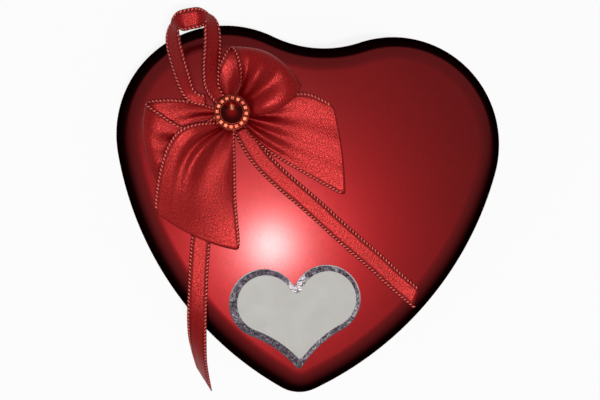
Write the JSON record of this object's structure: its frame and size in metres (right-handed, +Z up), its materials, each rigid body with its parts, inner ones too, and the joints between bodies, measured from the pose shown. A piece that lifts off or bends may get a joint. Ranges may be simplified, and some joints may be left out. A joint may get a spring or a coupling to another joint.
{
  "type": "heart-shaped gift tin",
  "caption": "Heart-shaped gift tin with a lift-off lid, a satin ribbon bow with a jewelled brooch and hanging loop, loose ribbon streamers and a bare foil heart label.",
  "frame": {"origin": "under the middle of the heart's outline, on the surface the tin stands on", "axes": "+Z up out of the lid, +Y from the heart's tip to its lobes, +X to the right with the tip towards the viewer"},
  "size_m": [0.1102, 0.1051, 0.0507],
  "materials": {
    "red_lacquer": "satin metallic lacquer on tinplate",
    "bare_tinplate": "clear-lacquered tinplate",
    "label_foil": "crinkled silver foil",
    "label_face": "matte pearl film",
    "hot_glue": "set hot-melt glue",
    "satin_ribbon": "woven satin with stitched edges",
    "brooch_metal": "copper-gold plating",
    "brooch_beads": "faceted gold beads",
    "brooch_stone": "polished dark red cone"
  },
  "bodies": {
    "base": {"base_wall": "red_lacquer", "base_floor": "bare_tinplate"},
    "lid": {"lid_shell": "red_lacquer", "label_foil": "label_foil", "label_face": "label_face", "bow_glue_pad": "hot_glue", "bow_knot": "satin_ribbon", "bow_right_loop": "satin_ribbon", "bow_left_loop": "satin_ribbon", "bow_down_tail": "satin_ribbon", "bow_right_tail": "satin_ribbon", "streamer_left": "satin_ribbon", "streamer_right": "satin_ribbon", "brooch_cup": "brooch_metal", "brooch_beads": "brooch_beads", "brooch_stone": "brooch_stone"},
    "hanging_loop": {"hanging_loop": "satin_ribbon"}
  },
  "joints": [
    {"name": "lid_lift", "type": "slide", "parent": "base", "child": "lid", "axis": [0, 0, 1], "range_m": [0, 0.06]},
    {"name": "loop_swing", "type": "hinge", "parent": "lid", "child": "hanging_loop", "pos_m": [-0.02535, 0.0291, 0.0414], "axis": [0.8848, 0.4659, 0], "range_deg": [0, 35]}
  ]
}
